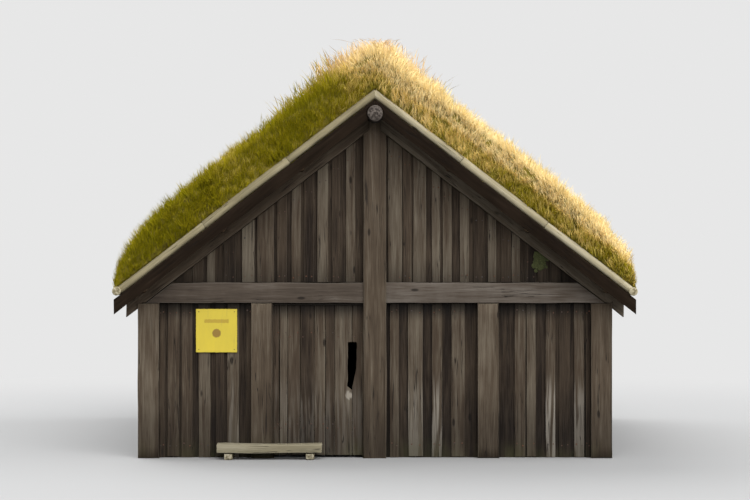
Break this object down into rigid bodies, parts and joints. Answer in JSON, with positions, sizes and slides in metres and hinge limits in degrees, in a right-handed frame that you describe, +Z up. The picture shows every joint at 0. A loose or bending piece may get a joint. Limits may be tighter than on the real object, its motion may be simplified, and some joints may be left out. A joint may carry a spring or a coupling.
{
  "type": "turf house",
  "caption": "Timber-framed turf house: hewn posts, upright wall boards, boarded gables and a thick grass roof over one open room, entered by a boarded door that swings inwards.",
  "frame": {"origin": "middle of the house's footprint at ground level, under the ridge", "axes": "+X to the right seen from the front gable, +Y from the front gable to the back, +Z up"},
  "size_m": [6.2372, 7.74, 4.8822],
  "materials": {
    "hewn_timber": "matte",
    "weathered_boards": "matte",
    "pale_timber": "matte",
    "hinge_iron": "matte",
    "sign_paint": "satin",
    "turf": "matte"
  },
  "bodies": {
    "house": {"front_corner_posts": "hewn_timber", "front_inner_posts": "hewn_timber", "front_centre_post": "hewn_timber", "front_left_tie_beam": "hewn_timber", "front_right_tie_beam": "hewn_timber", "front_rafters": "hewn_timber", "back_corner_posts": "hewn_timber", "back_inner_posts": "hewn_timber", "back_centre_post": "hewn_timber", "back_tie_beams": "hewn_timber", "back_rafters": "hewn_timber", "left_wall_plate": "hewn_timber", "right_wall_plate": "hewn_timber", "left_side_posts": "hewn_timber", "right_side_posts": "hewn_timber", "inner_rafters": "hewn_timber", "inner_tie_beams": "hewn_timber", "front_left_outer_boards": "weathered_boards", "front_right_inner_boards": "weathered_boards", "front_right_outer_boards": "weathered_boards", "front_gable_boards": "weathered_boards", "door_stops": "weathered_boards", "back_wall_boards": "weathered_boards", "back_gable_boards": "weathered_boards", "left_wall_boards": "weathered_boards", "right_wall_boards": "weathered_boards", "front_bargeboards": "weathered_boards", "back_bargeboards": "weathered_boards", "doorstep_plank": "pale_timber", "doorstep_bearers": "pale_timber", "ridge_pole": "pale_timber", "purlins": "pale_timber", "left_roof_boards": "pale_timber", "right_roof_boards": "pale_timber", "eaves_logs": "pale_timber", "front_verge_poles": "pale_timber", "back_verge_poles": "pale_timber", "door_pintles": "hinge_iron", "sign_plate": "sign_paint", "left_turf": "turf", "right_turf": "turf"},
    "door": {"door_leaf": "weathered_boards", "door_ledges": "weathered_boards", "door_straps": "hinge_iron"}
  },
  "joints": [
    {"name": "door_hinge", "type": "hinge", "parent": "house", "child": "door", "pos_m": [-1.205, -3.328, 0.93], "axis": [0, 0, 1], "range_deg": [0, 100]}
  ]
}
